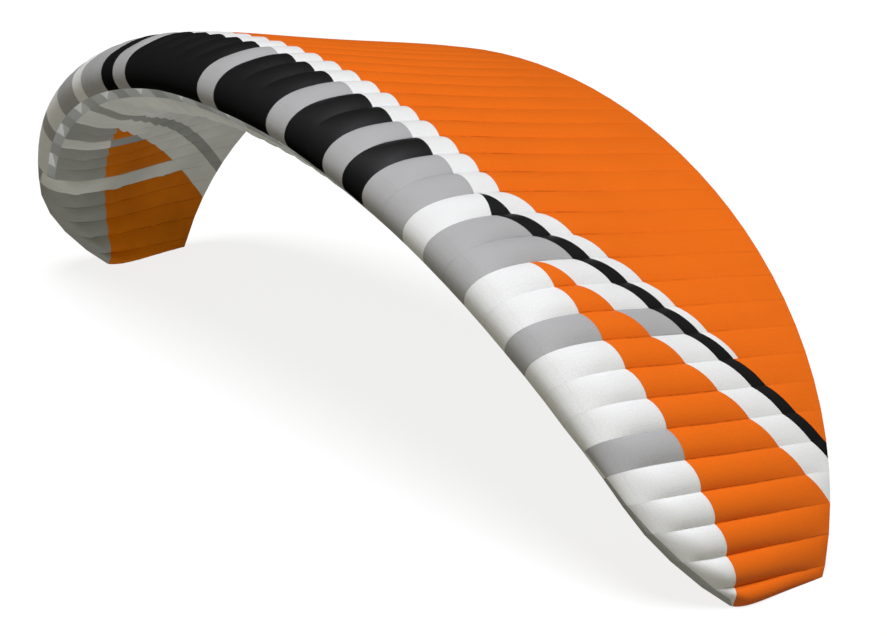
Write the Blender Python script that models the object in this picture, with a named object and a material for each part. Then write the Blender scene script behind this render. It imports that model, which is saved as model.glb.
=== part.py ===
"""Paraglider wing: an inflated ram-air canopy of fifty cells, standing on its two wing tips.

The wing is sewn from an upper skin, a lower skin, a rib at every cell wall and a closing panel at
each tip. Ribs count from 0 at the +X tip to 50 at the -X tip. X runs along the span, the nose
faces -Y, and Z is up. All lengths are in metres.
"""

import math

import bpy
import numpy as np

# Planform, measured on the cloth laid flat
ROOT_CHORD = 3.0
HALF_SPAN = 5.57
CELLS_PER_SIDE = 25
CELL_TAPER = (0.366, -0.253)  # loss of cell width with the 2nd and 4th power of the place outboard
TIP_CELL_SHARE = 0.55  # width of the outermost cell against its neighbours'
CHORD_LOSS = {2: 0.4325, 4: 0.0997, 6: 0.1439, 8: -0.1073}  # power of the span share: share lost
NOSE_SWEEP = {2: 0.7665, 4: 0.5619, 6: -0.1608}  # power of the span share: metres swept back
TIP_ROUNDING = 0.40  # extra sweep of the nose that rounds the tip off
ROUNDING_START = 0.85  # share of the half span where the rounding begins
TIP_CUT = 0.07  # length taken off the outermost rib's nose beyond the rounding

# Arch of the inflated wing, seen from the front
ARCH_ANGLES = {1: 0.791, 3: 0.364, 5: 0.341}  # power of the span share: radians of slope
INCIDENCE = 0.028  # radians by which each rib's tail is raised
NOSE_UP = math.radians(5.5)  # tilt of the standing wing

# Wing section: square-root nose, straight tail and three weights for each skin
UPPER_WEIGHTS = (0.33, 0.067, 0.143)
LOWER_WEIGHTS = (0.363, 0.189, 0.065)
BILLOW = {"upper": 0.17, "lower": 0.10}  # bulge of a cell against its width, by skin
BILLOW_RISE = 0.17  # share of the chord over which the bulge grows from nothing
SLOPE_STEP = 0.002  # share of the chord over which a slope is measured

# Cloth
SKIN_THICK = 0.002
RIB_THICK = 0.001
TIP_PANEL_THICK = 0.002
SEAM_GAP = 0.0003
RIB_INSET = 0.0034  # a rib's edge below the outside of the skin, clear of the skin's inner face
TAIL_HALF_GAP = 0.0024  # keeps the two skins apart at the trailing edge

# Places along the chord, as shares of it
NOSE_LIP = 0.012  # end of the upper skin, under the nose
INTAKE_REAR = 0.045  # front edge of the lower skin behind an open intake
UPPER_STATIONS = (0.0, 0.02, 0.08, 0.18, 0.34, 0.60, 0.90, 1.0)
LOWER_STATIONS = (0.18, 0.34, 0.60, 0.90, 1.0)
OPEN_FRONT = (INTAKE_REAR, 0.08, 0.12)
CLOSED_FRONT = (0.02, 0.08)
RIB_TAIL = 0.90
CLOSED_TIP_CELLS = 6  # cells with no intake at each tip

# Skins are cut into blocks of whole cells: rib numbers where the blocks meet
UPPER_BLOCKS = (0, 10, 20, 30, 40, 50)
LOWER_BLOCKS = (0, 12, 25, 38, 50)

# Colour, roughness
CLOTH = {
    "upper": ((0.80, 0.16, 0.015, 1.0), 0.55),
    "lower": ((0.62, 0.62, 0.58, 1.0), 0.60),
    "rib": ((0.55, 0.56, 0.56, 1.0), 0.65),
    "tip": ((0.82, 0.83, 0.83, 1.0), 0.60),
}


def polynomial(terms, value):
    """Sum of factor times a power of the value, for each power in the table."""
    return sum(factor * value**power for power, factor in terms.items())


def rib_shares():
    """Places of the ribs from the centre to the tip, as shares of the flat half span."""
    middles = (np.arange(CELLS_PER_SIDE) + 0.5) / CELLS_PER_SIDE
    widths = 1 - CELL_TAPER[0] * middles**2 - CELL_TAPER[1] * middles**4
    widths[-1] *= TIP_CELL_SHARE
    places = np.concatenate([[0.0], np.cumsum(widths)])
    return places / places[-1]


def arch_place(share):
    """Distance outward, height and slope of the arch at a share of the half span."""
    steps = np.linspace(0.0, share, 200)
    slopes = polynomial(ARCH_ANGLES, (steps[1:] + steps[:-1]) / 2)
    step = HALF_SPAN * share / (len(steps) - 1)
    return np.cos(slopes).sum() * step, -np.sin(slopes).sum() * step, polynomial(ARCH_ANGLES, share)


def section_height(weights, share):
    """Height of a skin over the chord line, as a share of the chord."""
    front, middle, rear = weights
    blend = front * (1 - share) ** 2 + 2 * middle * share * (1 - share) + rear * share**2
    return np.sqrt(share) * (1 - share) * blend


def unit(vectors):
    """Vectors of length one."""
    return vectors / np.linalg.norm(vectors, axis=-1, keepdims=True)


def tilted(points):
    """The points turned nose up about the X axis."""
    turn = np.array(
        [
            [1.0, 0.0, 0.0],
            [0.0, math.cos(NOSE_UP), math.sin(NOSE_UP)],
            [0.0, -math.sin(NOSE_UP), math.cos(NOSE_UP)],
        ]
    )
    return points @ turn.T


class Rib:
    """One cell wall: where it stands, how long it is, and which ways its chord and height point."""

    def __init__(self, number):
        steps_out = abs(number - CELLS_PER_SIDE)
        side = 1.0 if number < CELLS_PER_SIDE else -1.0
        share = rib_shares()[steps_out]
        out, height, slope = arch_place(share) if share > 0 else (0.0, 0.0, 0.0)
        rounding = TIP_ROUNDING * max(0.0, (share - ROUNDING_START) / (1 - ROUNDING_START)) ** 2
        rounding += TIP_CUT * (steps_out == CELLS_PER_SIDE)
        chord = ROOT_CHORD * (1 - polynomial(CHORD_LOSS, share))
        up = np.array([side * math.sin(slope), 0.0, math.cos(slope)])
        back = np.array([0.0, 1.0, 0.0])
        self.number = number
        self.is_tip = steps_out == CELLS_PER_SIDE
        self.chord_way = tilted(math.cos(INCIDENCE) * back + math.sin(INCIDENCE) * up)
        self.height_way = tilted(math.cos(INCIDENCE) * up - math.sin(INCIDENCE) * back)
        self.outward = tilted(np.array([side * math.cos(slope), 0.0, -math.sin(slope)]))
        self.chord = chord - rounding
        nose = tilted(np.array([side * out, polynomial(NOSE_SWEEP, share), height]))
        self.nose = nose + rounding * self.chord_way

    def profile(self, shares, upper):
        """Points on the outside of a skin at this rib, at the given shares of the chord."""
        shares = np.asarray(shares, float)
        weights = UPPER_WEIGHTS if upper else LOWER_WEIGHTS
        rise = self.chord * section_height(weights, shares) + TAIL_HALF_GAP * shares
        if not upper:
            rise = -rise
        return self.nose + np.outer(self.chord * shares, self.chord_way) + np.outer(rise, self.height_way)

    def outward_ways(self, shares, upper):
        """Unit vectors that point out of a skin at this rib, within the rib's own plane."""
        shares = np.asarray(shares, float)
        weights = UPPER_WEIGHTS if upper else LOWER_WEIGHTS
        before = np.maximum(shares - SLOPE_STEP, 0.0)
        after = np.minimum(shares + SLOPE_STEP, 1.0)
        climb = section_height(weights, after) - section_height(weights, before)
        ways = np.outer(after - before, self.height_way * (1 if upper else -1))
        return unit(ways - np.outer(climb, self.chord_way))

    def foot_height(self):
        """Height of the level foot that ends a tip: midway between the tip's nose and tail."""
        return self.nose[2] + self.chord * self.chord_way[2] / 2

    def levelled(self, points, height):
        """Points of a tip slid along the span onto the level plane at this height."""
        return points + np.outer((height - points[:, 2]) / self.outward[2], self.outward)


RIBS = [Rib(number) for number in range(2 * CELLS_PER_SIDE + 1)]
FOOT = RIBS[0].foot_height()
SKIN_END = FOOT + TIP_PANEL_THICK + SEAM_GAP


def skin_line(rib, upper, closed):
    """Points of a skin along one rib from the front edge to the tail, and the ways out of it."""
    if upper:
        under_nose = [NOSE_LIP]
        points = [rib.profile(under_nose, False), rib.profile(UPPER_STATIONS, True)]
        ways = [rib.outward_ways(under_nose, False), rib.outward_ways(UPPER_STATIONS, True)]
        return np.concatenate(points), np.concatenate(ways)
    front = (NOSE_LIP + SEAM_GAP / rib.chord,) + CLOSED_FRONT if closed else OPEN_FRONT
    shares = front + LOWER_STATIONS
    return rib.profile(shares, False), rib.outward_ways(shares, False)


def bulge(shares, width, upper):
    """Depth of the billow along a cell: none at the front edge and at the tail, and most in between."""
    front, skin = (0.0, "upper") if upper else (INTAKE_REAR, "lower")
    part = np.clip((shares - front) / BILLOW_RISE, 0.0, 1.0)
    return BILLOW[skin] * width * part**2 * (3 - 2 * part) * (1 - shares) ** 0.75


def skin_grid(first_rib, last_rib, upper):
    """Outer and inner points of a block of cells: a row for each rib and each crown, front to tail."""
    shares = np.array((0.0,) + UPPER_STATIONS if upper else OPEN_FRONT + LOWER_STATIONS)
    outer, inner = [], []

    def add_row(points, ways, rib=None):
        under = points - SKIN_THICK * ways
        if rib is not None and rib.is_tip:
            points, under = rib.levelled(points, SKIN_END), rib.levelled(under, SKIN_END)
        outer.append(points)
        inner.append(under)

    for number in range(first_rib, last_rib):
        closed = min(number, 2 * CELLS_PER_SIDE - 1 - number) < CLOSED_TIP_CELLS
        here, here_ways = skin_line(RIBS[number], upper, closed)
        there, there_ways = skin_line(RIBS[number + 1], upper, closed)
        width = np.linalg.norm(there - here, axis=1)
        ways = unit(here_ways + there_ways)
        crown = (here + there) / 2 + bulge(shares, width, upper)[:, None] * ways
        if number == first_rib:
            add_row(here, here_ways, RIBS[number])
        add_row(crown, ways)
        add_row(there, there_ways, RIBS[number + 1])
    for rows in (outer, inner):
        rows[0] = rows[0] + SEAM_GAP / 2 * unit(rows[1] - rows[0])
        rows[-1] = rows[-1] + SEAM_GAP / 2 * unit(rows[-2] - rows[-1])
    return np.array(outer), np.array(inner)


def sheet_faces(rows, columns):
    """Faces of a closed sheet made of an outer and an inner grid of points."""
    def point(row, column, layer):
        return layer * rows * columns + row * columns + column

    faces = []
    for row in range(rows - 1):
        for column in range(columns - 1):
            corners = [(row, column), (row + 1, column), (row + 1, column + 1), (row, column + 1)]
            # each pane is cut along one diagonal, the same on both sides, and mirrored past a crown
            if row % 2:
                corners = corners[1:] + corners[:1]
            for triangle in (corners[:3], corners[2:] + corners[:1]):
                faces.append([point(*corner, 0) for corner in reversed(triangle)])
                faces.append([point(*corner, 1) for corner in triangle])
    rim = [(row, 0) for row in range(rows - 1)]
    rim += [(rows - 1, column) for column in range(columns - 1)]
    rim += [(row, columns - 1) for row in range(rows - 1, 0, -1)]
    rim += [(0, column) for column in range(columns - 1, 0, -1)]
    for here, there in zip(rim, rim[1:] + rim[:1]):
        faces.append([point(*here, 0), point(*there, 0), point(*there, 1), point(*here, 1)])
    return faces


def cloth_material(kind):
    """The plain coated nylon of one kind of piece."""
    colour, roughness = CLOTH[kind]
    material = bpy.data.materials.new(kind + "_cloth")
    material.use_nodes = True
    shader = material.node_tree.nodes["Principled BSDF"]
    shader.inputs["Base Color"].default_value = colour
    shader.inputs["Roughness"].default_value = roughness
    return material


def add_piece(name, points, faces, material):
    """A mesh object in world coordinates."""
    mesh = bpy.data.meshes.new(name)
    mesh.from_pydata([tuple(point) for point in points], [], faces)
    mesh.materials.append(material)
    piece = bpy.data.objects.new(name, mesh)
    bpy.context.scene.collection.objects.link(piece)
    return piece


def add_skin(name, first_rib, last_rib, upper, shift, material):
    """A block of the upper or lower skin, as one closed sheet."""
    outer, inner = skin_grid(first_rib, last_rib, upper)
    if not upper:
        outer, inner = outer[::-1], inner[::-1]
    points = np.concatenate([outer.reshape(-1, 3), inner.reshape(-1, 3)]) + shift
    return add_piece(name, points, sheet_faces(*outer.shape[:2]), material)


def rib_outline(rib, inset):
    """Closed outline of a rib, nose first, over the top and back underneath."""
    shares = [share for share in UPPER_STATIONS if share <= RIB_TAIL]
    top = rib.profile(shares, upper=True)
    bottom = rib.profile(shares[:0:-1], upper=False)
    outline = np.concatenate([top, bottom])
    along = unit(np.roll(outline, -1, axis=0) - np.roll(outline, 1, axis=0))
    inward = np.cross(along, np.cross(rib.chord_way, rib.height_way))
    return outline + inset * inward


def add_rib(rib, shift, material):
    """A cell wall: a flat plate of cloth with the wing section's outline."""
    outline = rib_outline(rib, RIB_INSET)
    across = np.cross(rib.chord_way, rib.height_way)
    half = RIB_THICK / 2 * across
    return add_plate(f"rib_{rib.number:02d}", outline + half, outline - half, shift, material)


def add_tip_panel(name, rib, shift, material):
    """The level panel that closes a wing tip, on which the wing stands."""
    top = rib.profile(UPPER_STATIONS, upper=True)
    bottom = rib.profile(UPPER_STATIONS[:0:-1], upper=False)
    outline = np.concatenate([top, bottom])
    lower = rib.levelled(outline, FOOT)
    upper = lower + np.array([0.0, 0.0, TIP_PANEL_THICK])
    first, second = (lower, upper) if rib.number == 0 else (upper, lower)
    return add_plate(name, first, second, shift, material)


def add_plate(name, first, second, shift, material):
    """A closed plate between two like outlines, the first of which runs clockwise seen from outside."""
    count = len(first)
    faces = [list(range(count - 1, -1, -1)), list(range(count, 2 * count))]
    for here in range(count):
        there = (here + 1) % count
        faces.append([here, there, there + count, here + count])
    points = np.concatenate([first, second]) + shift
    return add_piece(name, points, faces, material)


def standing_shift():
    """The move that puts the foot on the ground and the middle of the wing over the origin."""
    skins = [skin_grid(0, 2 * CELLS_PER_SIDE, upper)[0][..., 1] for upper in (True, False)]
    front = min(skin.min() for skin in skins)
    rear = max(skin.max() for skin in skins)
    return -np.array([0.0, (front + rear) / 2, FOOT])


def clear_scene():
    """Remove every object of the startup scene."""
    for obj in list(bpy.data.objects):
        bpy.data.objects.remove(obj, do_unlink=True)


def main():
    clear_scene()
    materials = {kind: cloth_material(kind) for kind in CLOTH}
    shift = standing_shift()
    for count, (first, last) in enumerate(zip(UPPER_BLOCKS, UPPER_BLOCKS[1:]), 1):
        add_skin(f"upper_skin_{count}", first, last, True, shift, materials["upper"])
    for count, (first, last) in enumerate(zip(LOWER_BLOCKS, LOWER_BLOCKS[1:]), 1):
        add_skin(f"lower_skin_{count}", first, last, False, shift, materials["lower"])
    for rib in RIBS[1:-1]:
        add_rib(rib, shift, materials["rib"])
    add_tip_panel("tip_panel_right", RIBS[0], shift, materials["tip"])
    add_tip_panel("tip_panel_left", RIBS[-1], shift, materials["tip"])


main()
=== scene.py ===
"""Dresses the paraglider wing in ripstop nylon: fifty inflated cells, each sewn from coloured panels.

Ribs count from 0 at the +X tip to 50 at the -X tip, and cell n lies between ribs n and n + 1. X runs
along the span, the nose faces -Y and Z is up. All lengths are in metres. A place along the section is
the square root of the chord share, positive on the upper skin and negative on the lower one, so that
0 is the nose, 1 the upper tail and -1 the lower tail.
"""

import math

import bpy
import numpy as np
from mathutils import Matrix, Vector


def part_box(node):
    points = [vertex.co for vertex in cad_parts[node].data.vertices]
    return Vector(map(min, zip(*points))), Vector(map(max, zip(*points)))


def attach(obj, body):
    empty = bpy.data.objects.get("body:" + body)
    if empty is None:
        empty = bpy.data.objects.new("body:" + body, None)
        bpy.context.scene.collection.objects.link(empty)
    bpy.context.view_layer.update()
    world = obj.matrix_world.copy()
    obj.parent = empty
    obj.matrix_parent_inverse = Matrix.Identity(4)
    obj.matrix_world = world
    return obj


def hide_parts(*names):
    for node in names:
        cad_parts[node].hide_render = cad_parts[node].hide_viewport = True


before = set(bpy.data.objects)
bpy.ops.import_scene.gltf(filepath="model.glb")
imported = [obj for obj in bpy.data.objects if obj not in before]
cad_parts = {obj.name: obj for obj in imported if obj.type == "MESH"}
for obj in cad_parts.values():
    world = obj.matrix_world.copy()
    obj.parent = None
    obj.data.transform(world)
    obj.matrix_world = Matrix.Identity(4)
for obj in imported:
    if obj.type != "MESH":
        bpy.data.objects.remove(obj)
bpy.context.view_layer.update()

bl_info = {
    "name": "Paraglider wing",
    "version": (1, 0, 0),
    "blender": (4, 5, 0),
    "location": "View3D > Sidebar > Wing",
    "description": "Sews the panels and ribs of a ram-air paraglider wing",
    "category": "Add Mesh",
}

# Planform of the cloth laid flat, arch and section, as in the solid model but for the nose's lip
ROOT_CHORD = 3.0
HALF_SPAN = 5.57
CELLS_PER_SIDE = 25
CELL_TAPER = (0.366, -0.253)
TIP_CELL_SHARE = 0.55
CHORD_LOSS = {2: 0.4325, 4: 0.0997, 6: 0.1439, 8: -0.1073}
NOSE_SWEEP = {2: 0.7665, 4: 0.5619, 6: -0.1608}
TIP_ROUNDING = 0.40
ROUNDING_START = 0.85
TIP_CUT = 0.07
ARCH_ANGLES = {1: 0.791, 3: 0.364, 5: 0.341}
INCIDENCE = 0.028
NOSE_UP = math.radians(5.5)
UPPER_WEIGHTS = (0.33, 0.067, 0.143)
LOWER_WEIGHTS = (0.363, 0.189, 0.065)
TAIL_HALF_GAP = 0.0009
NOSE_LIP = 0.017  # chord share of the upper skin's edge under the nose, behind the solid model's
INTAKE_REAR = 0.045  # chord share of the lower skin's front edge
CLOSED_TIP_CELLS = 6
CELLS = 2 * CELLS_PER_SIDE
UPPER_BLOCKS = (0, 10, 20, 30, 40, 50)
LOWER_BLOCKS = (0, 12, 25, 38, 50)

# Panel seams. A slanted seam is straight on the cloth laid flat: its distance behind the root nose
# line at its first rib, what it falls back for each metre outboard, and that rib, counted from the centre
SLANTED_SEAMS = {
    "stripe_front": {"back": 0.4617, "slope": 0.9189, "rib": 10},
    "stripe_rear": {"back": 0.6321, "slope": 0.8984, "rib": 10},
    "wedge_rear": {"back": 0.8898, "slope": 0.7626, "rib": 10},
    "flash_rear": {"back": 0.7780, "slope": 0.9140, "rib": 13},
}
# A chordwise seam keeps its share of the chord, or gains evenly from its first rib to the tip
CHORD_SEAMS = {
    "nose_rear": {"share": 0.1869, "gain": 0.0, "rib": 0},
    "band_rear": {"share": 0.2673, "gain": 0.0, "rib": 0},
    "flash_front": {"share": 0.1669, "gain": 0.2034, "rib": 13},
    "lower_front": {"share": 0.1936, "gain": 0.1732, "rib": 13},
}
STRIPE_APEX = 0.196  # chord share where the dark stripe starts, ten ribs from the centre
NOSE_SEAM = 0.030  # chord share of the seam across each nose panel
TIP_SEAM = (0.27, 0.058)  # place at the tip of the seam under the closed noses, and its fall for each rib
STRIP_START = 0.99  # share of the lip past which the strip under a closed nose always reaches
STRIP_REACH = 0.7  # share of the flash's front seam that it never passes
NOSE_PANEL_LEAST = 0.02  # least chord share of a closed cell's first nose panel

# Colours of the nose panels from the +X tip to the -X tip, and of the lower front panels from a tip in
NOSE_COLOURS = "WWWWWGWWWGWWGGWGGKGKKGKKKGKKKKKGKGGWGGWWGWWWGWWWWW"
LOWER_FRONT_COLOURS = "GGGGGWGGGWGGWWG" + "W" * 10
COLOUR_KEYS = {"W": "white", "G": "grey", "K": "black"}

# Fineness of the sheets
COLUMNS = 14  # faces across a cell
ROWS_PER_PLACE = 40  # faces for one unit of place along the section
CLOTH_THICK = 0.0010
RIB_CLOTH_THICK = 0.0006
TIP_CLOTH_THICK = 0.0015

# Row of places along the lower skin where the lines pull, and every how many ribs
LOAD_SHARES = (0.14, 0.36, 0.65, 0.86)
LOAD_RIB_STEP = 3
PULL_ALONG = 0.075  # spread of a pull along the chord
PULL_ACROSS = 0.8  # and across, in cells
PULL_RISE = 0.05  # chord share behind the intake over which the pull grows

BULGE_FULL = 0.17  # chord share over which the upper skin's bulge grows
LOWER_BULGE_FULL = 0.07  # and the lower skin's
TAIL_FALL = 0.75  # power with which the upper bulge falls to the tail
LOWER_TAIL_FALL = 0.9
TIP_BULGE = 0.45  # how much deeper the outermost cell bulges
TIP_BULGE_CELLS = 10
TIP_BULGE_FULL = 0.5  # chord share over which the tips' extra depth grows
TIP_TAIL_FALL = 0.3  # how much lower the power is at the outermost cell
FRONT_SWELL = {"extra": 0.6, "share": 0.17, "spread": 0.10}  # extra depth of the lower cells, a bell

# Sag of the cloth at the intake, at numbers of ribs from the centre: below the solid model if positive
SAG = {0: -0.020, 4: -0.030, 9: 0.0, 15: 0.041, 18: 0.045, 21: -0.018, 25: 0.0}
SAG_PLACE = -0.17
SAG_SPREAD = 0.12

# Inner ribs: how far they keep inside the skins, where they end, and how an edge is cut back in the intake
RIB_INSET = 0.0016
RIB_END = 0.9487
SLANTED_ENDS = (0.21, 0.80)
RIB_RECESS = {"depth": 0.08, "place": 0.17, "spread": 0.045}
CUTTING_YIELD = 0.7  # share of a rectangle of cloth that ends up in ribs

AIM = (0.906, 1.447, -1.780)  # where the camera looks, from the centre rib's nose


def rise(part):
    """Smooth step from 0 to 1."""
    part = np.clip(part, 0.0, 1.0)
    return part**2 * (3 - 2 * part)


def hex_colour(code):
    """Linear colour of an sRGB hex code: each channel over 255, then the sRGB curve undone."""
    channels = np.array([int(code[place:place + 2], 16) for place in (1, 3, 5)]) / 255
    linear = np.where(channels <= 0.04045, channels / 12.92, ((channels + 0.055) / 1.055) ** 2.4)
    return tuple(float(channel) for channel in linear)


# ---------------------------------------------------------------- sizes and colours a user may change


class WingShape(bpy.types.PropertyGroup):
    """How the inflated cloth stands."""

    top_bulge: bpy.props.FloatProperty(
        name="Top bulge", description="Depth of a cell's arc on top against its width",
        default=0.195, min=0.0, max=0.4)
    lower_bulge: bpy.props.FloatProperty(
        name="Lower bulge", description="Depth of a lower panel's arc against its width",
        default=0.13, min=0.0, max=0.4)
    line_pull: bpy.props.FloatProperty(
        name="Line pull", description="How far the lower skin is drawn down where the lines attach",
        default=0.016, min=0.0, max=0.05, unit="LENGTH", precision=3)


def colour_property(name, description, code):
    return bpy.props.FloatVectorProperty(
        name=name, description=description, default=hex_colour(code), subtype="COLOR",
        size=3, min=0.0, max=1.0)


class WingColours(bpy.types.PropertyGroup):
    """Colours of the dyed cloth."""

    orange: colour_property("Orange", "Main panels and flashes of the upper skin", "#F37218")
    white: colour_property("White", "White panels of the upper skin", "#F0F1F2")
    grey: colour_property("Grey", "Grey panels of the upper skin", "#B3B3B5")
    black: colour_property("Black", "Black panels of the upper skin", "#161616")
    lower_orange: colour_property("Lower orange", "Orange panels of the lower skin", "#E47D03")
    lower_white: colour_property("Lower white", "White panels of the lower skin", "#E8EAE9")
    lower_grey: colour_property("Lower grey", "Grey panels of the lower skin", "#ABADAC")
    # the ribs with lines are paler than the others and the slanted ribs: painted light and painted shade on
    # one rib cloth
    rib: colour_property("Rib", "Inner ribs with lines", "#D9DADB")
    soft_rib: colour_property("Soft rib", "Inner ribs without lines, and slanted ribs", "#C5C6C3")
    floor: colour_property("Floor", "Studio floor", "#7C7C7C")


class WingStage(bpy.types.PropertyGroup):
    """Camera and light of the studio."""

    azimuth: bpy.props.FloatProperty(
        name="Azimuth", description="Camera's way round from the nose side",
        default=math.radians(55.34), subtype="ANGLE")
    elevation: bpy.props.FloatProperty(
        name="Elevation", description="Camera's height above the horizon",
        default=math.radians(19.71), subtype="ANGLE")
    distance: bpy.props.FloatProperty(
        name="Distance", description="Camera's distance from its aim", default=22.0, unit="LENGTH")
    lens: bpy.props.FloatProperty(
        name="Lens", description="Focal length", default=116.8, unit="CAMERA")
    key_power: bpy.props.FloatProperty(
        name="Key power", description="Strength of the large soft lamp above", default=3.05)
    sky_power: bpy.props.FloatProperty(
        name="Sky power", description="Strength of the even light from all round", default=1.0)


# ---------------------------------------------------------------------------------- shape of the wing


def polynomial(terms, value):
    """Sum of factor times a power of the value, for each power in the table."""
    return sum(factor * value**power for power, factor in terms.items())


def rib_shares():
    """Places of the ribs from the centre to the tip, as shares of the flat half span."""
    middles = (np.arange(CELLS_PER_SIDE) + 0.5) / CELLS_PER_SIDE
    widths = 1 - CELL_TAPER[0] * middles**2 - CELL_TAPER[1] * middles**4
    widths[-1] *= TIP_CELL_SHARE
    places = np.concatenate([[0.0], np.cumsum(widths)])
    return places / places[-1]


def arch_place(share):
    """Distance outward and height of the arch: the sums of the cosine and sine of its slope."""
    steps = np.linspace(0.0, share, 200)
    slopes = polynomial(ARCH_ANGLES, (steps[1:] + steps[:-1]) / 2)
    step = HALF_SPAN * share / (len(steps) - 1)
    return np.cos(slopes).sum() * step, -np.sin(slopes).sum() * step


def unit(vectors):
    """Vectors of length one."""
    return vectors / np.linalg.norm(vectors, axis=-1, keepdims=True)


def tilted(points):
    """The points turned nose up about the X axis: y' = y cos + z sin, z' = z cos - y sin."""
    x, y, z = np.moveaxis(np.asarray(points, float), -1, 0)
    cos, sin = math.cos(NOSE_UP), math.sin(NOSE_UP)
    return np.stack([x, y * cos + z * sin, z * cos - y * sin], axis=-1)


def chord_rounding(share):
    """Length cut off the nose: a parabola from ROUNDING_START out, and a little more at the tip itself."""
    part = np.maximum(0.0, (share - ROUNDING_START) / (1 - ROUNDING_START))
    return TIP_ROUNDING * part**2 + TIP_CUT * (share > 1 - 1e-6)


class Wing:
    """Every rib's nose, chord and directions, one row of each array for a rib."""

    def __init__(self):
        numbers = np.arange(CELLS + 1)
        share = rib_shares()[np.abs(numbers - CELLS_PER_SIDE)]
        side = np.where(numbers < CELLS_PER_SIDE, 1.0, -1.0)
        slope = polynomial(ARCH_ANGLES, share)
        out, height = np.array([arch_place(place) for place in share]).T
        zero, one = np.zeros_like(share), np.ones_like(share)
        up = np.stack([side * np.sin(slope), zero, np.cos(slope)], axis=1)
        back = np.stack([zero, one, zero], axis=1)
        rounding = chord_rounding(share)
        self.chord_way = tilted(math.cos(INCIDENCE) * back + math.sin(INCIDENCE) * up)
        self.height_way = tilted(math.cos(INCIDENCE) * up - math.sin(INCIDENCE) * back)
        self.across = np.cross(self.chord_way, self.height_way)
        self.outward = tilted(np.stack([side * np.cos(slope), zero, -np.sin(slope)], axis=1))
        self.chord = ROOT_CHORD * (1 - polynomial(CHORD_LOSS, share)) - rounding
        nose = tilted(np.stack([side * out, polynomial(NOSE_SWEEP, share), height], axis=1))
        self.nose = nose + rounding[:, None] * self.chord_way
        self.sag = np.interp(np.abs(numbers - CELLS_PER_SIDE), list(SAG), list(SAG.values()))
        self.foot = self.nose[0, 2] + self.chord[0] * self.chord_way[0, 2] / 2
        self.shift = np.zeros(3)
        self.shift = self.standing_shift()

    def standing_shift(self):
        """The move from the wing's own place to where the frame has it, found at a tip's tail."""
        low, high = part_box("tip_panel_right")
        tail = self.section(0, np.array([-1.0, 1.0]), levelled=True)
        shift = np.array([0.0, high.y - tail[:, 1].max(), low.z - self.foot])
        if abs(high.x - tail[:, 0].max()) > 0.3 or abs(low.z) > 0.01:
            raise RuntimeError("the packed wing doesn't have this script's sizes")
        return shift

    def section(self, rib, places, levelled=False):
        """Points of a rib's outline: along the chord by place squared, and up by the section's height.

        The height is place times (1 - share) times a quadratic blend of three weights, all over chord.
        The sag at the intake is a bell over the place.
        A levelled outline is slid along the span onto the foot's plane.
        """
        places = np.asarray(places, float)
        share = places**2
        upper = (places > 0)[..., None]
        front, middle, rear = np.moveaxis(np.where(upper, UPPER_WEIGHTS, LOWER_WEIGHTS), -1, 0)
        blend = front * (1 - share) ** 2 + 2 * middle * share * (1 - share) + rear * share**2
        height = self.chord[rib] * places * (1 - share) * blend + np.sign(places) * TAIL_HALF_GAP * share
        height = height - self.sag[rib] * np.exp(-(((places - SAG_PLACE) / SAG_SPREAD) ** 2))
        points = self.nose[rib] + share[..., None] * self.chord[rib] * self.chord_way[rib]
        points = points + height[..., None] * self.height_way[rib]
        if levelled:
            slide = (self.foot - points[..., 2]) / self.outward[rib][2]
            points = points + slide[..., None] * self.outward[rib]
        return points + self.shift

    def outward_ways(self, rib, places):
        """Unit vectors out of the section in the rib's plane: its across vector crossed with the tangent."""
        step = 1e-3
        ends = [np.clip(places + sign * step, -1, 1) for sign in (1, -1)]
        tangent = self.section(rib, ends[0]) - self.section(rib, ends[1])
        return unit(np.cross(self.across[rib], tangent))

    def is_tip(self, rib):
        return rib in (0, CELLS)


WING = Wing()


def rib_steps(cell, across):
    """Distance from the centre in ribs, at parts of the way across a cell."""
    return np.abs(cell + across - CELLS_PER_SIDE)


def seam_line(name):
    """Chord share of a panel seam at each rib from the centre to the tip, over 1 where it has left the wing.

    A slanted seam lies back + slope * (flat distance beyond its rib) behind the root nose line. The sweep
    is taken off, and what is left is a share of the chord; the tip's rounding is then allowed for.
    """
    flat = rib_shares()
    uncut = ROOT_CHORD * (1 - polynomial(CHORD_LOSS, flat))
    if name in SLANTED_SEAMS:
        seam = SLANTED_SEAMS[name]
        back = seam["back"] + seam["slope"] * HALF_SPAN * (flat - flat[seam["rib"]])
        share = (back - polynomial(NOSE_SWEEP, flat)) / uncut
    else:
        seam = CHORD_SEAMS[name]
        beyond = np.arange(len(flat)) - seam["rib"]
        share = seam["share"] + seam["gain"] * beyond / (CELLS_PER_SIDE - seam["rib"])
    if name.startswith("stripe"):
        share[seam["rib"]] = STRIPE_APEX
    cut = chord_rounding(flat)
    return (share * uncut - cut) / (uncut - cut)


SEAM_LINES = {name: seam_line(name) for name in (*SLANTED_SEAMS, *CHORD_SEAMS)}


def seam_share(name, steps):
    """Chord share of a panel seam at distances from the centre in ribs, straight from rib to rib."""
    return np.clip(np.interp(steps, np.arange(CELLS_PER_SIDE + 1), SEAM_LINES[name]), 0.0, 1.0)


# -------------------------------------------------------------------------------------- panel plans


def from_tip(cell):
    """A cell's count from its nearer tip, from 1 to 25."""
    return min(cell, CELLS - 1 - cell) + 1


def upper_plan(cell, steps):
    """Panels of an upper cell from the lip to the tail: a colour and the chord share where each ends.

    The share of a seam below the nose is negative. A closed cell has a strip of the lower cloth there.
    """
    return lip_plan(cell, steps) + top_plan(cell, steps)


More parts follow.
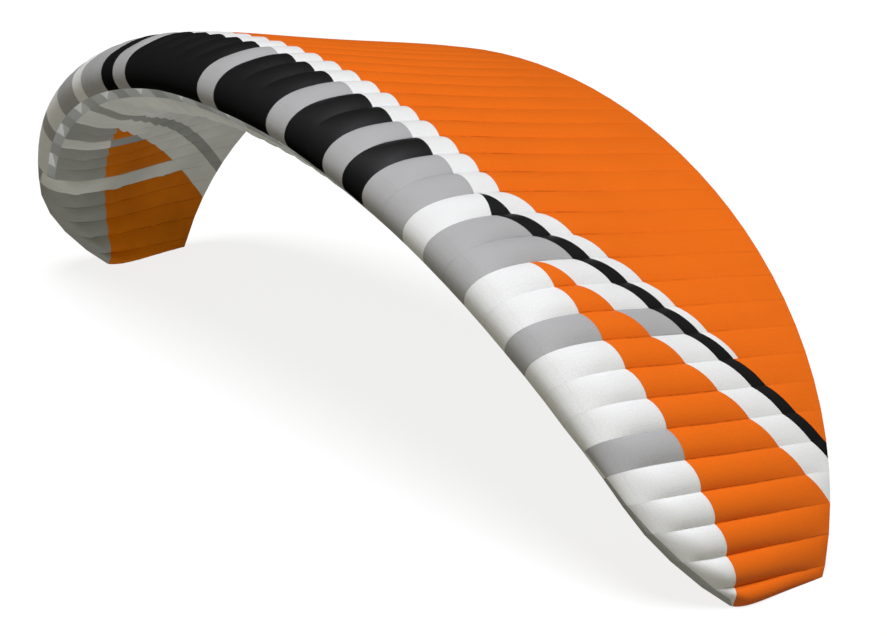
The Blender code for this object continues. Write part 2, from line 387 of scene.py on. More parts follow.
def lip_plan(cell, steps):
    """The panels of an upper cell's nose, all in front of the flash at the tips."""
    nose = COLOUR_KEYS[NOSE_COLOURS[cell]]
    if from_tip(cell) > CLOSED_TIP_CELLS:
        return [(nose, NOSE_SEAM)]
    place = TIP_SEAM[0] - TIP_SEAM[1] * (CELLS_PER_SIDE - steps)
    front = COLOUR_KEYS[LOWER_FRONT_COLOURS[from_tip(cell) - 1]]
    flash = seam_share("flash_front", steps)
    strip = np.clip(place * np.abs(place), -STRIP_START * NOSE_LIP, STRIP_REACH * flash)
    panel = np.minimum(np.maximum(NOSE_SEAM, strip + NOSE_PANEL_LEAST), flash)
    return [(f"lower_{front}", strip), (nose, panel)]


def top_plan(cell, steps):
    """The panels of an upper cell behind its nose seam."""
    count = from_tip(cell)
    nose = COLOUR_KEYS[NOSE_COLOURS[cell]]
    seams = {name: seam_share(name, steps) for name in SEAM_LINES}
    stripe = seams["stripe_front"], seams["stripe_rear"]
    if count > 15:
        return [(nose, seams["nose_rear"]), ("white", seams["band_rear"]), ("orange", 1.0)]
    if count > 12:
        return [(nose, stripe[0]), ("black", stripe[1]), ("white", seams["wedge_rear"]), ("orange", 1.0)]
    between = "grey" if count == 10 else "white"
    plan = [(nose, seams["flash_front"]), ("orange", seams["flash_rear"])]
    plan += [(between, stripe[0]), ("black", stripe[1])]
    if count > 8:
        plan.append(("white", seams["wedge_rear"]))
    return plan + [("orange", 1.0)]


def lower_plan(cell, steps):
    """Panels of a lower cell from the intake's rear edge to the tail, as for the upper skin."""
    count = from_tip(cell)
    front = COLOUR_KEYS[LOWER_FRONT_COLOURS[count - 1]]
    if count > 15:
        return [(front, 1.0)]
    stripe = [seam_share(name, steps) for name in ("stripe_front", "stripe_rear")]
    rear = [("grey", stripe[1]), ("white", 1.0)]
    if count > 12:
        return [(front, stripe[0])] + rear
    main = {6: "white", 10: "grey"}.get(count, "orange")
    plan = [(front, seam_share("lower_front", steps)), (main, seam_share("flash_rear", steps))]
    return plan + [("white", stripe[0])] + rear


# --------------------------------------------------------------------------------------- mesh making


class SheetMesh:
    """Collects grids of points with their two UV maps, and makes one mesh of them."""

    def __init__(self):
        self.points, self.corners, self.maps, self.slots = [], [], [], []
        self.count = 0

    def add_grid(self, points, cloth, seams, slots):
        """Adds a grid of rows and columns; slots gives the material of each row of faces.

        Points of one grid that coincide are made one, so a strip that ends in a point ends in triangles.
        """
        rows, columns = points.shape[:2]
        flat = points.reshape(-1, 3)
        _, first, same = np.unique(
            np.round(flat, 5), axis=0, return_index=True, return_inverse=True)
        index = np.arange(rows * columns).reshape(rows, columns)
        quads = np.stack([index[:-1, :-1], index[:-1, 1:], index[1:, 1:], index[1:, :-1]], axis=-1)
        quads = quads.reshape(-1, 4)
        self.points.append(flat[first])
        self.corners.append(same.reshape(-1)[quads] + self.count)
        self.maps.append(np.concatenate([cloth, seams], axis=-1).reshape(-1, 4)[quads])
        self.slots.append(np.repeat(slots, columns - 1))
        self.count += len(first)

    def make(self, name, materials, flipped=False):
        """The mesh object, smooth within a grid and creased between grids."""
        points = np.concatenate(self.points)
        corners, maps = np.concatenate(self.corners), np.concatenate(self.maps)
        slots = np.concatenate(self.slots)
        if flipped:
            corners, maps = corners[:, ::-1], maps[:, ::-1]
        keep = corners != np.roll(corners, -1, axis=1)
        solid = keep.sum(axis=1) >= 3
        corners, maps, keep, slots = corners[solid], maps[solid], keep[solid], slots[solid]
        sizes = keep.sum(axis=1)
        starts = np.concatenate([[0], np.cumsum(sizes)[:-1]])
        loops, maps = corners[keep], maps[keep]
        mesh = bpy.data.meshes.new(name)
        mesh.vertices.add(len(points))
        mesh.vertices.foreach_set("co", points.astype(np.float32).ravel())
        mesh.loops.add(len(loops))
        mesh.loops.foreach_set("vertex_index", loops.astype(np.int32))
        mesh.polygons.add(len(sizes))
        mesh.polygons.foreach_set("loop_start", starts.astype(np.int32))
        mesh.polygons.foreach_set("material_index", slots.astype(np.int32))
        mesh.update(calc_edges=True)
        for layer, values in (("cloth", maps[:, :2]), ("seams", maps[:, 2:])):
            mesh.uv_layers.new(name=layer).uv.foreach_set(
                "vector", values.astype(np.float32).ravel())
        mesh.shade_smooth()
        uses = np.empty(len(loops), np.int32)
        mesh.loops.foreach_get("edge_index", uses)
        open_edges = np.bincount(uses, minlength=len(mesh.edges)) == 1
        mesh.edges.foreach_set("use_edge_sharp", open_edges)
        for material in materials:
            mesh.materials.append(material)
        return add_object(name, mesh)


def add_object(name, mesh):
    """An object at the world's origin, in the scene."""
    piece = bpy.data.objects.new(name, mesh)
    bpy.context.scene.collection.objects.link(piece)
    return piece


def surface_area(piece):
    """Area of a mesh's faces in square metres."""
    areas = np.empty(len(piece.data.polygons))
    piece.data.polygons.foreach_get("area", areas)
    return float(areas.sum())


def thicken(piece, thickness):
    """Gives a sheet its cloth's thickness, inwards from its outer face."""
    modifier = piece.modifiers.new("cloth_thickness", "SOLIDIFY")
    modifier.thickness = thickness
    modifier.offset = -1.0


def arc_height(across, depth):
    """Height over its chord of a circular arc of unit width, whose middle stands depth high.

    The radius is (1/4 + depth^2) / (2 depth), and the height is sqrt(radius^2 - x^2) - (radius - depth).
    """
    depth = np.maximum(depth, 1e-4)
    radius = (0.25 + depth**2) / (2 * depth)
    return np.sqrt(radius**2 - (across - 0.5) ** 2) - (radius - depth)


def cell_surface(cell, across, places, depth):
    """Points of an inflated cell: the straight line from rib to rib, raised by an arc along the way out."""
    ends, ways = [], []
    for rib in (cell, cell + 1):
        ends.append(WING.section(rib, places, levelled=WING.is_tip(rib)))
        ways.append(WING.outward_ways(rib, places))
    across = across[..., None]
    base = (1 - across) * ends[0] + across * ends[1]
    way = unit((1 - across) * ways[0] + across * ways[1])
    width = np.linalg.norm(ends[1] - ends[0], axis=-1, keepdims=True)
    return base + arc_height(across, depth[..., None]) * width * way, width[..., 0]


def upper_depth(cell, places):
    """Depth of the arc against the cell's width: none at the nose, full on top, and none at the tail.

    It rises with a smooth step over the first shares of the chord and falls with a power of what is left.
    Over the last cells towards the tip it is deeper behind the nose and falls later.
    """
    share = np.where(places > 0, places**2, 0.0)
    tip = max(0.0, 1 - (from_tip(cell) - 1) / TIP_BULGE_CELLS)
    depth = bpy.context.scene.wing_shape.top_bulge * rise(share / BULGE_FULL)
    depth = depth * (1 + TIP_BULGE * tip * rise(share / TIP_BULGE_FULL))
    return depth * (1 - share) ** (TAIL_FALL - TIP_TAIL_FALL * tip)


def lower_depth(places):
    """Depth of a lower panel's arc: none at the intake, full just behind it, and none at the tail.

    It rises with a smooth step, is raised by a bell over the chord share, and falls with a power of what
    is left.
    """
    share = places**2
    part = (share - INTAKE_REAR) / LOWER_BULGE_FULL
    swell = np.exp(-(((share - FRONT_SWELL["share"]) / FRONT_SWELL["spread"]) ** 2))
    depth = bpy.context.scene.wing_shape.lower_bulge * rise(part) * (1 + FRONT_SWELL["extra"] * swell)
    return depth * (1 - share) ** LOWER_TAIL_FALL


def line_pull(cell, across, places):
    """How far the lower skin is drawn out near the line rows: a round hill at each third rib from rib 0.

    Each hill is a bell over the chord times a bell over the span, and fades in behind the intake.
    The loaded ribs of SetRibs are others, as they are counted from the centre rib.
    """
    rib = cell + across
    span = np.abs((rib + LOAD_RIB_STEP / 2) % LOAD_RIB_STEP - LOAD_RIB_STEP / 2)
    chord = ROOT_CHORD * places**2
    rows = sum(np.exp(-((chord - ROOT_CHORD * share) / PULL_ALONG) ** 2) for share in LOAD_SHARES)
    front = rise((places**2 - INTAKE_REAR) / PULL_RISE)
    pull = bpy.context.scene.wing_shape.line_pull
    return pull * rows * front * np.exp(-((span / PULL_ACROSS) ** 2))


def sewn_cell(sheet, cell, first_place, plan, upper, slots):
    """Adds one cell to a sheet, from the front edge to the tail, one strip of faces for each panel."""
    across = np.linspace(0.0, 1.0, COLUMNS + 1)
    sign = 1.0 if upper else -1.0
    start = np.full(COLUMNS + 1, first_place)
    places, slot_rows, strip_rows = [start[None]], [], []
    for colour, share in plan:
        share = np.broadcast_to(share, across.shape)
        end = sign * np.sign(share) * np.sqrt(np.abs(share))
        rows = 2 * max(1, math.ceil(np.abs(end - start).max() * ROWS_PER_PLACE / 2))
        parts = np.arange(1, rows + 1)[:, None] / rows
        places.append(start + parts * (end - start))
        strip_rows.append(rows)
        slot_rows += [slots[colour]] * rows
        start = end
    places = np.concatenate(places)
    grid = np.broadcast_to(across, places.shape)
    depth = upper_depth(cell, places) if upper else lower_depth(places)
    points, width = cell_surface(cell, grid, places, depth)
    if not upper:
        points = points - line_pull(cell, grid, places)[..., None] * WING.height_way[cell]
    add_sewn_grid(sheet, points, width, grid, strip_rows, slot_rows)


def add_sewn_grid(sheet, points, width, grid, strip_rows, slot_rows):
    """Adds a cell's grid with its UV maps: metres across and along, and metres to the seams.

    The first map gives the thread's place. The second gives the distance to the nearer rib seam and to the
    nearer panel seam, measured along the section.
    """
    steps = np.linalg.norm(np.diff(points, axis=0), axis=-1)
    along = np.concatenate([np.zeros((1, points.shape[1])), np.cumsum(steps, axis=0)])
    cloth = np.stack([(grid - 0.5) * width, along], axis=-1)
    rib_gap = np.minimum(grid, 1 - grid) * width
    row = 0
    for rows in strip_rows:
        strip = along[row:row + rows + 1]
        gap = np.minimum(strip - strip[0], strip[-1] - strip)
        seams = np.stack([rib_gap[row:row + rows + 1], gap], axis=-1)
        sheet.add_grid(
            points[row:row + rows + 1], cloth[row:row + rows + 1], seams,
            slot_rows[row:row + rows])
        row += rows


def block_sheet(first, last, upper, slots):
    """The cells of one block of a skin, each sewn from its panels."""
    sheet = SheetMesh()
    for cell in range(first, last):
        steps = rib_steps(cell, np.linspace(0.0, 1.0, COLUMNS + 1))
        plan = upper_plan(cell, steps) if upper else lower_plan(cell, steps)
        sewn_cell(sheet, cell, front_place(cell, upper), plan, upper, slots)
    return sheet


def front_place(cell, upper):
    """Place where a skin starts: the lip under the nose, or the intake's rear edge."""
    closed = from_tip(cell) <= CLOSED_TIP_CELLS
    return -math.sqrt(NOSE_LIP if upper or closed else INTAKE_REAR)


def flat_size(first, last, upper):
    """Width, length and area of a block laid flat, before it is blown up.

    A panel is as wide as its arc, 1 + 8/3 of the depth squared times the chord of the arc, and as long as
    its ribs. The area is the sum over each cell of the arc's width times each step of the length.
    """
    width, length, area = 0.0, 0.0, 0.0
    for cell in range(first, last):
        start = front_place(cell, upper)
        places = np.linspace(start, 1.0 if upper else -1.0, 80)
        depth = upper_depth(cell, places) if upper else lower_depth(places)
        middle, span = cell_surface(cell, np.full_like(places, 0.5), places, depth * 0)
        arcs = span * (1 + 8 / 3 * depth**2)
        steps = np.linalg.norm(np.diff(middle, axis=0), axis=1)
        width, length = width + arcs.max(), max(length, steps.sum())
        area += float(((arcs[1:] + arcs[:-1]) / 2 * steps).sum())
    return width, length, area


# ------------------------------------------------------------------------------------ the inner ribs


def rib_grid(sheet, first_rib, first_height, second_rib, second_height, places, rows, slot=0):
    """Adds a wall of cloth between a height on one rib and a height on another, along the chord.

    A height of 0 is the lower skin and 1 the upper skin, with straight lines between. A rib's own wall
    goes from 0 to 1 on the same rib. In the intake its edge is cut back by a bell over the place.
    """
    lines = []
    for rib, height in ((first_rib, first_height), (second_rib, second_height)):
        top, bottom = (
            WING.section(rib, sign * places) - RIB_INSET * WING.outward_ways(rib, sign * places)
            for sign in (1, -1))
        bell = np.exp(-(((places - RIB_RECESS["place"]) / RIB_RECESS["spread"]) ** 2))
        recess = RIB_RECESS["depth"] * bell[:, None]
        bottom = (1 - recess) * bottom + recess * top
        lines.append((1 - height) * bottom + height * top)
    parts = np.linspace(0.0, 1.0, rows + 1)[:, None, None]
    points = (1 - parts) * lines[0] + parts * lines[1]
    along = np.broadcast_to(ROOT_CHORD * places**2, points.shape[:2])
    across = np.concatenate([
        np.zeros((1, len(places))),
        np.cumsum(np.linalg.norm(np.diff(points, axis=0), axis=-1), axis=0)])
    cloth = np.stack([across, along], axis=-1)
    seams = np.stack([np.minimum(across, across[-1] - across), np.full_like(across, 0.5)], axis=-1)
    sheet.add_grid(points, cloth, seams, [slot] * rows)


def wall_size(piece, length):
    """Flat size of a set of walls laid side by side: their area over the cutting yield, at that length."""
    area = surface_area(piece)
    return (area / length / CUTTING_YIELD, length), area


# ----------------------------------------------------------------------------------------- materials


def add_node(tree, kind, inputs=None, **settings):
    """Adds a node, changes its settings, and gives its inputs each a value or a link.

    A node given for an input is linked by its first output.
    """
    node = tree.nodes.new(kind)
    for name, value in settings.items():
        setattr(node, name, value)
    for name, value in (inputs or {}).items():
        if isinstance(value, bpy.types.Node):
            value = value.outputs[0]
        if isinstance(value, bpy.types.NodeSocket):
            tree.links.new(value, node.inputs[name])
        else:
            node.inputs[name].default_value = value
    return node


def stitch_lines(tree, ways, gaps):
    """Dashed stitching beside each seam: 1 on a stitch and 0 elsewhere."""
    # stitches 3 mm long beside the seams, drawn 15 mm long every 24 mm
    lines = []
    for way, gap in zip(ways, gaps):
        # metres along the seam, moved to where all are positive
        along = add_node(tree, "ShaderNodeMath", {0: way, 1: 9.0}, operation="ADD")
        phase = add_node(tree, "ShaderNodeMath", {0: along, 1: 0.024}, operation="MODULO")
        dash = add_node(tree, "ShaderNodeMath", {0: phase, 1: 0.015}, operation="LESS_THAN")
        line = add_node(tree, "ShaderNodeMath", {0: gap, 1: 0.0065, 2: 0.0020}, operation="COMPARE")
        lines.append(add_node(tree, "ShaderNodeMath", {0: dash, 1: line}, operation="MULTIPLY"))
    return add_node(tree, "ShaderNodeMath", {0: lines[0], 1: lines[1]}, operation="MAXIMUM")


def painted_seam_shade(tree, cloth, along, rib_gap, panel_gap):
    """Painted shade along each seam, standing in for the shade in its crease: 1 at its deepest and 0 off the
    seam.
    """
    panel = add_node(tree, "ShaderNodeMath", {0: panel_gap, 1: 0.005}, operation="ADD")
    nearest = add_node(tree, "ShaderNodeMath", {0: rib_gap, 1: panel}, operation="MINIMUM")
    crease = add_node(tree, "ShaderNodeMapRange", {
        "Value": nearest, "From Min": 0.0, "From Max": 0.009, "To Min": 1.0, "To Max": 0.0})
    # it comes and goes over some 200 mm
    noise = add_node(tree, "ShaderNodeTexNoise", {"Vector": cloth, "Scale": 5.0})
    shares = [add_node(tree, "ShaderNodeMapRange", {
        "Value": noise, "From Min": 0.48, "From Max": 0.56, "To Min": 0.30, "To Max": 1.0})]
    # and it's deepest a metre behind the nose
    for near, far, low, high in ((0.6, 0.9, 0.4, 1.0), (1.1, 2.0, 1.0, 0.22)):
        shares.append(add_node(tree, "ShaderNodeMapRange", {
            "Value": along, "From Min": near, "From Max": far, "To Min": low, "To Max": high}))
    for share in shares:
        crease = add_node(tree, "ShaderNodeMath", {0: crease, 1: share}, operation="MULTIPLY")
    return crease


def nylon(name, colour, roughness, relief=1.0, gloss=0.12, seam=0.10, uneven=0.045, painted_glow=0.0,
          painted_daylight=0.0):
    """Coated ripstop nylon: dyed colour times the shades of weave and sewing, and painted light and shade.

    These are uneven dye, a square grid of thicker threads, streaks of weft, painted light of day near the
    intakes, painted shade along the crease of each seam, whose depth is seam, and the stitches beside it.
    An emission in the cloth's own colour is painted light too. Puckers that run out from the seams, and
    the threads, are its bump.
    """
    if name in bpy.data.materials:
        return bpy.data.materials[name]
    material = bpy.data.materials.new(name)
    material.use_nodes = True
    tree = material.node_tree
    cloth = add_node(tree, "ShaderNodeUVMap", uv_map="cloth")
    seams = add_node(tree, "ShaderNodeUVMap", uv_map="seams")
    across, along = add_node(tree, "ShaderNodeSeparateXYZ", {0: cloth}).outputs[:2]
    rib_gap, panel_gap = add_node(tree, "ShaderNodeSeparateXYZ", {0: seams}).outputs[:2]

    # dye that varies a little over half a metre
    place = add_node(tree, "ShaderNodeTexCoord").outputs["Object"]
    dye = add_node(tree, "ShaderNodeTexNoise", {"Vector": place, "Scale": 2.0, "Detail": 3.0})
    shade = add_node(tree, "ShaderNodeMapRange", {
        "Value": dye, "From Min": 0.3, "From Max": 0.7, "To Min": 1 - uneven, "To Max": 1.0})
    # thicker threads every 5 mm, drawn every 15 mm, as the true ones are too fine to show
    threads = add_node(tree, "ShaderNodeTexBrick", {
        "Vector": cloth, "Scale": 1.0, "Mortar Size": 0.0022, "Mortar Smooth": 0.6,
        "Brick Width": 0.015, "Row Height": 0.015}, offset=0.0).outputs["Fac"]
    # uneven weft, drawn in streaks 8 mm wide and 16 mm long
    weft_place = add_node(tree, "ShaderNodeMapping", {"Vector": cloth, "Scale": (60.0, 120.0, 1.0)})
    weft = add_node(tree, "ShaderNodeTexNoise", {"Vector": weft_place, "Scale": 1.0, "Detail": 1.0})
    streaks = add_node(tree, "ShaderNodeMapRange", {
        "Value": weft, "From Min": 0.3, "From Max": 0.7, "To Min": 0.965, "To Max": 1.055})
    # painted light: the cloth is lighter over its first metre behind its front edge, standing in for light
    # of day that comes in at the intakes and through the cloth
    lit = add_node(tree, "ShaderNodeMapRange", {
        "Value": along, "From Min": 0.15, "From Max": 0.8, "To Min": 1 + painted_daylight, "To Max": 1.0})
    crease = painted_seam_shade(tree, cloth, along, rib_gap, panel_gap)
    stitches = stitch_lines(tree, (along, across), (rib_gap, panel_gap))
    # the painted seam shade darkens the colour by up to the seam share, and the stitches darken it by 6 %
    thinned, creased, stitched = (
        add_node(tree, "ShaderNodeMath", {0: mask, 1: -depth, 2: 1.0}, operation="MULTIPLY_ADD")
        for mask, depth in ((threads, 0.08), (crease, seam), (stitches, 0.06)))
    for factor in (thinned, streaks, lit, creased, stitched):
        shade = add_node(tree, "ShaderNodeMath", {0: shade, 1: factor}, operation="MULTIPLY")
    tone = add_node(tree, "ShaderNodeMix", {
        "Factor": 1.0, 6: (*colour, 1.0), 7: shade}, data_type="RGBA", blend_type="MULTIPLY")

    # puckers 30 to 60 mm apart that run 100 mm out from a seam
    pucker_place = add_node(tree, "ShaderNodeMapping", {"Vector": cloth, "Scale": (4.0, 22.0, 1.0)})
    puckers = add_node(tree, "ShaderNodeTexNoise", {"Vector": pucker_place, "Scale": 1.0, "Detail": 2.0})
    reach = add_node(tree, "ShaderNodeMapRange", {
        "Value": rib_gap, "From Min": 0.0, "From Max": 0.10, "To Min": 1.0, "To Max": 0.15})
    folds = add_node(tree, "ShaderNodeMath", {0: puckers, 1: reach}, operation="MULTIPLY")
    height = add_node(tree, "ShaderNodeMath", {0: folds, 1: 0.005 * relief}, operation="MULTIPLY")
    height = add_node(
        tree, "ShaderNodeMath", {0: threads, 1: 0.0006 * relief, 2: height}, operation="MULTIPLY_ADD")
    bump = add_node(tree, "ShaderNodeBump", {"Height": height, "Strength": 0.6, "Distance": 1.0})

    shader = tree.nodes["Principled BSDF"]
    tree.links.new(tone.outputs[2], shader.inputs["Base Color"])
    tree.links.new(bump.outputs[0], shader.inputs["Normal"])
    shader.inputs["Roughness"].default_value = roughness
    shader.inputs["Specular IOR Level"].default_value = gloss
    # painted light: an emission in the cloth's own colour, standing in for light that comes through the thin
    # cloth
    shader.inputs["Emission Color"].default_value = (*colour, 1.0)
    shader.inputs["Emission Strength"].default_value = painted_glow
    return material


def cloth_colour(name):
    return tuple(getattr(bpy.context.scene.wing_colours, name))


def upper_materials():
    """Materials of the upper skin, with the colour name that each slot has in a panel plan."""
    return {
        # seam gives how dark the painted shade along the seams is
        # saturated orange coated nylon, a soft satin that deepens to rust in shade
        "orange": nylon("orange_ripstop_nylon", cloth_colour("orange"), 0.52, seam=0.62),
        # bright white coated nylon, slightly cool where it is lit
        "white": nylon("white_ripstop_nylon", cloth_colour("white"), 0.55, seam=0.20),
        # light silver-grey coated nylon, flat and neutral
        "grey": nylon("grey_ripstop_nylon", cloth_colour("grey"), 0.52, seam=0.40),
        # black coated nylon, whose satin coating shows as a dull grey sheen
        "black": nylon("black_ripstop_nylon", cloth_colour("black"), 0.5, gloss=0.5),
        **{f"lower_{colour}": material for colour, material in lower_materials().items()},
    }


def lower_materials():
    """Materials of the lower skin, whose uncoated side shows and looks drier, with painted shade and light.
    """
    # relief and gloss make the cloth look drier; the seam share paints shade along its seams, the
    # light-of-day share paints light behind the intakes, and the colour varies at random by up to a fifth
    dry_and_painted_shading = {"relief": 3.0, "gloss": 0.04, "seam": 0.55, "uneven": 0.20, "painted_daylight": 0.25}
    return {
        # amber orange nylon, drier than the upper skin's
        "orange": nylon("orange_lower_nylon", cloth_colour("lower_orange"), 0.62, **dry_and_painted_shading),
        # off-white nylon, dull where the upper skin's is bright
        "white": nylon("white_lower_nylon", cloth_colour("lower_white"), 0.62, **dry_and_painted_shading),
        # neutral mid-grey nylon
        "grey": nylon("grey_lower_nylon", cloth_colour("lower_grey"), 0.62, **dry_and_painted_shading),
    }


# ----------------------------------------------------------------------------------------- operators


def dress(piece, nodes=()):
    """Puts a finished piece on the frame."""
    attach(piece, "root")
    if nodes:
        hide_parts(*nodes)
    return piece


class SewUpperSkin(bpy.types.Operator):
    """Sew the upper skin's cells from their coloured panels"""

    bl_idname = "wing.sew_upper_skin"
    bl_label = "Sew upper skin"

    def execute(self, context):
        materials = upper_materials()
        slots = {colour: number for number, colour in enumerate(materials)}
        for count, (first, last) in enumerate(zip(UPPER_BLOCKS, UPPER_BLOCKS[1:]), 1):
            sheet = block_sheet(first, last, True, slots)
            piece = sheet.make(f"upper_skin_cloth_{count}", materials.values(), flipped=True)
            width, length, area = flat_size(first, last, True)
            thicken(piece, CLOTH_THICK)
            dress(piece, [f"upper_skin_{count}"])
        return {"FINISHED"}


class SewLowerSkin(bpy.types.Operator):
    """Sew the lower skin's cells from their coloured panels"""

    bl_idname = "wing.sew_lower_skin"
    bl_label = "Sew lower skin"

    def execute(self, context):
        materials = lower_materials()
        slots = {colour: number for number, colour in enumerate(materials)}
        for count, (first, last) in enumerate(zip(LOWER_BLOCKS, LOWER_BLOCKS[1:]), 1):
            sheet = block_sheet(first, last, False, slots)
            piece = sheet.make(f"lower_skin_cloth_{count}", materials.values())
            width, length, area = flat_size(first, last, False)
            thicken(piece, CLOTH_THICK)
            dress(piece, [f"lower_skin_{count}"])
        return {"FINISHED"}


class SetRibs(bpy.types.Operator):
    """Set the upright and slanted ribs inside the wing"""

    bl_idname = "wing.set_ribs"
    bl_label = "Set ribs"

    def execute(self, context):
        # pale, stiff, slightly glossy cloth of the ribs with lines; its paler colour and its emission are
        # painted light, standing in for light that comes through the thin cloth
        stiff = nylon("stiff_rib_nylon", cloth_colour("rib"), 0.48, relief=0.5, painted_glow=0.30)
        # softer cloth of the ribs between, painted greyer and with a weaker emission: painted shade against
        # the ribs with lines
        soft = nylon("soft_rib_nylon", cloth_colour("soft_rib"), 0.55, relief=0.5, painted_glow=0.155)
        # the same cloth in the slanted ribs, which stand in the open intakes, with a stronger emission:
        # painted light
        slant = nylon("slanted_rib_nylon", cloth_colour("soft_rib"), 0.55, relief=0.5, painted_glow=0.25)
        walls, slanted = SheetMesh(), SheetMesh()
        for rib in range(1, CELLS):
            loaded = (rib - CELLS_PER_SIDE) % LOAD_RIB_STEP == 0
            rib_grid(walls, rib, 0.0, rib, 1.0, np.linspace(0.0, RIB_END, 33), 6, 0 if loaded else 1)
            if loaded and CLOSED_TIP_CELLS < rib < CELLS - CLOSED_TIP_CELLS:
                for other in (rib - 1, rib + 1):
                    rib_grid(slanted, rib, 0.0, other, 1.0, np.linspace(*SLANTED_ENDS, 17), 6, 2)
        for name, sheet, nodes in (
                ("rib_walls", walls, [f"rib_{rib:02d}" for rib in range(1, CELLS)]),
                ("slanted_ribs", slanted, [])):
            piece = sheet.make(name, [stiff, soft, slant])
            size, area = wall_size(piece, ROOT_CHORD)
            thicken(piece, RIB_CLOTH_THICK)
            dress(piece, nodes)
        return {"FINISHED"}


class ClosePanels(bpy.types.Operator):
    """Close the wing tips with the panels on which the wing stands"""

    bl_idname = "wing.close_tips"
    bl_label = "Close tips"

    def execute(self, context):
        # off-white nylon, the same as the lower skin's
        cloth = nylon("white_tip_nylon", cloth_colour("lower_white"), 0.62)
        for rib, side in ((0, "right"), (CELLS, "left")):
            places = np.linspace(0.0, 1.0, 33)
            top = WING.section(rib, places, levelled=True)
            bottom = WING.section(rib, -places, levelled=True)
            parts = np.linspace(0.0, 1.0, 7)[:, None, None]
            points = (1 - parts) * bottom + parts * top
            gap = np.linalg.norm(top - bottom, axis=-1) * np.minimum(parts, 1 - parts)[..., 0]
            cloth_map = points[..., :2]
            seams = np.stack([gap, np.full_like(gap, 0.5)], axis=-1)
            sheet = SheetMesh()
            sheet.add_grid(points, cloth_map, seams, [0] * 6)
            piece = sheet.make(f"tip_cloth_{side}", [cloth], flipped=rib != 0)
            thicken(piece, TIP_CLOTH_THICK)
            surface_area(piece)
            dress(piece, [f"tip_panel_{side}"])
        return {"FINISHED"}


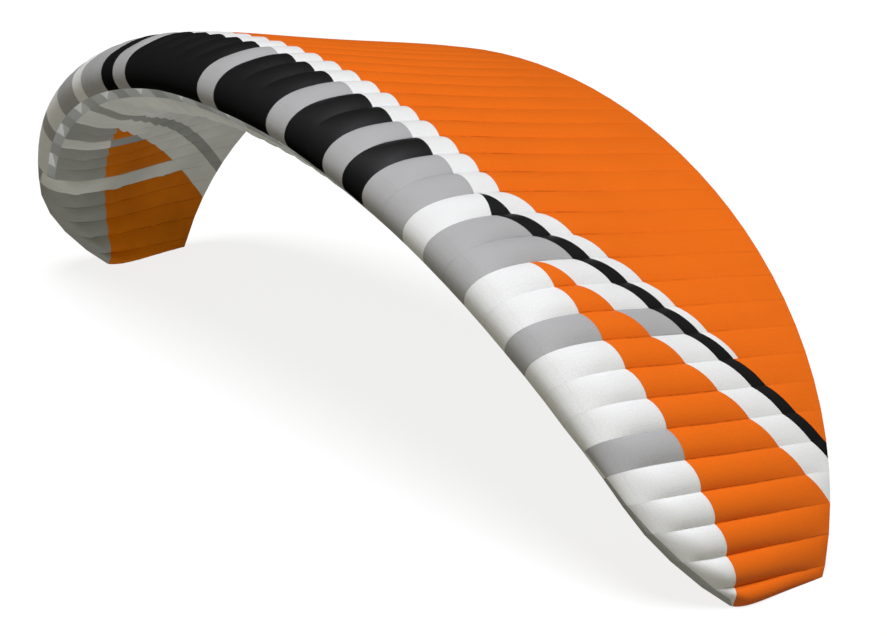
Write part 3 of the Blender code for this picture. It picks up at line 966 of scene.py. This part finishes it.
class SetStage(bpy.types.Operator):
    """Set the floor, the lights and the camera"""

    bl_idname = "wing.set_stage"
    bl_label = "Set stage"

    def execute(self, context):
        scene, settings = context.scene, context.scene.wing_stage
        self.lay_floor()
        self.light(scene, settings)
        aim = Vector(WING.nose[CELLS_PER_SIDE] + WING.shift) + Vector(AIM)
        turn, lift = settings.azimuth, settings.elevation
        look = Vector((-math.sin(turn) * math.cos(lift), math.cos(turn) * math.cos(lift), -math.sin(lift)))
        camera = bpy.data.objects.new("camera", bpy.data.cameras.new("camera"))
        scene.collection.objects.link(camera)
        camera.location = aim - settings.distance * look
        camera.rotation_euler = look.to_track_quat("-Z", "Y").to_euler()
        camera.data.lens = settings.lens
        camera.data.sensor_width = 36.0
        camera.data.clip_end = 500.0
        camera.data.dof.use_dof = False
        scene.camera = camera
        scene.view_settings.view_transform = "Standard"
        return {"FINISHED"}

    def lay_floor(self):
        """A wide plain matt floor, which glows enough to show white and throws no light on the wing."""
        material = bpy.data.materials.new("pale_floor_paint")
        material.use_nodes = True
        shader = material.node_tree.nodes["Principled BSDF"]
        shader.inputs["Base Color"].default_value = (*cloth_colour("floor"), 1.0)
        shader.inputs["Roughness"].default_value = 0.95
        shader.inputs["Emission Color"].default_value = (1.0, 1.0, 1.0, 1.0)
        shader.inputs["Emission Strength"].default_value = 0.82
        mesh = bpy.data.meshes.new("floor")
        size = 150.0
        mesh.from_pydata(
            [(-size, -size, 0), (size, -size, 0), (size, size, 0), (-size, size, 0)], [], [(0, 1, 2, 3)])
        mesh.materials.append(material)
        floor = add_object("floor", mesh)
        floor.visible_diffuse = False
        floor.visible_glossy = False

    def light(self, scene, settings):
        """Soft light from all round, pale from below, olive-grey from the sides and dim above, and a lamp.

        The light's height is the dot product of its way with a line leaning a little off the vertical.
        """
        world = bpy.data.worlds.new("studio")
        world.use_nodes = True
        tree = world.node_tree
        way = add_node(tree, "ShaderNodeTexCoord").outputs["Generated"]
        height = add_node(
            tree, "ShaderNodeVectorMath", {0: way, 1: (0.08, -0.20, 0.975)},
            operation="DOT_PRODUCT").outputs["Value"]
        part = add_node(tree, "ShaderNodeMapRange", {"Value": height, "From Min": -1.0, "From Max": 1.0})
        ramp = add_node(tree, "ShaderNodeValToRGB", {0: part})
        stops = ramp.color_ramp.elements
        stops[0].position, stops[0].color = 0.0, (*hex_colour("#C6C5C5"), 1.0)
        stops[1].position, stops[1].color = 1.0, (*hex_colour("#5B5844"), 1.0)
        stops.new(0.5).color = (*hex_colour("#807C62"), 1.0)
        # beyond the floor's edge a white backdrop shows, which gives no light of its own
        seen = add_node(tree, "ShaderNodeLightPath").outputs["Is Camera Ray"]
        shown = add_node(tree, "ShaderNodeMix", {
            0: seen, 6: ramp, 7: (1.0, 1.0, 1.0, 1.0)}, data_type="RGBA").outputs[2]
        back = tree.nodes["Background"]
        tree.links.new(shown, back.inputs["Color"])
        back.inputs["Strength"].default_value = settings.sky_power
        scene.world = world
        # the sheen of the cloth comes from the lamp alone
        world.cycles_visibility.glossy = False
        lamp = bpy.data.lights.new("soft_lamp", "SUN")
        lamp.energy = settings.key_power
        lamp.color = (0.985, 0.988, 1.045)
        lamp.angle = math.radians(25)
        holder = bpy.data.objects.new("soft_lamp", lamp)
        holder.rotation_euler = Vector((-0.36, 0.26, -0.895)).to_track_quat("-Z", "Y").to_euler()
        scene.collection.objects.link(holder)


class WingPanel(bpy.types.Panel):
    """Sizes, colours and steps of the wing"""

    bl_idname = "VIEW3D_PT_wing"
    bl_label = "Paraglider wing"
    bl_space_type = "VIEW_3D"
    bl_region_type = "UI"
    bl_category = "Wing"

    def draw(self, context):
        for group in ("wing_shape", "wing_colours", "wing_stage"):
            box = self.layout.box()
            settings = getattr(context.scene, group)
            for name in settings.__annotations__:
                box.prop(settings, name)
        for operator in OPERATORS:
            self.layout.operator(operator.bl_idname)


OPERATORS = (SewUpperSkin, SewLowerSkin, SetRibs, ClosePanels, SetStage)
CLASSES = (WingShape, WingColours, WingStage, *OPERATORS, WingPanel)


def register():
    for item in CLASSES:
        bpy.utils.register_class(item)
    bpy.types.Scene.wing_shape = bpy.props.PointerProperty(type=WingShape)
    bpy.types.Scene.wing_colours = bpy.props.PointerProperty(type=WingColours)
    bpy.types.Scene.wing_stage = bpy.props.PointerProperty(type=WingStage)


def unregister():
    for group in ("wing_shape", "wing_colours", "wing_stage"):
        delattr(bpy.types.Scene, group)
    for item in reversed(CLASSES):
        bpy.utils.unregister_class(item)


def main():
    register()
    for operator in OPERATORS:
        space, name = operator.bl_idname.split(".")
        getattr(getattr(bpy.ops, space), name)()
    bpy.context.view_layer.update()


if __name__ == "__main__":
    main()
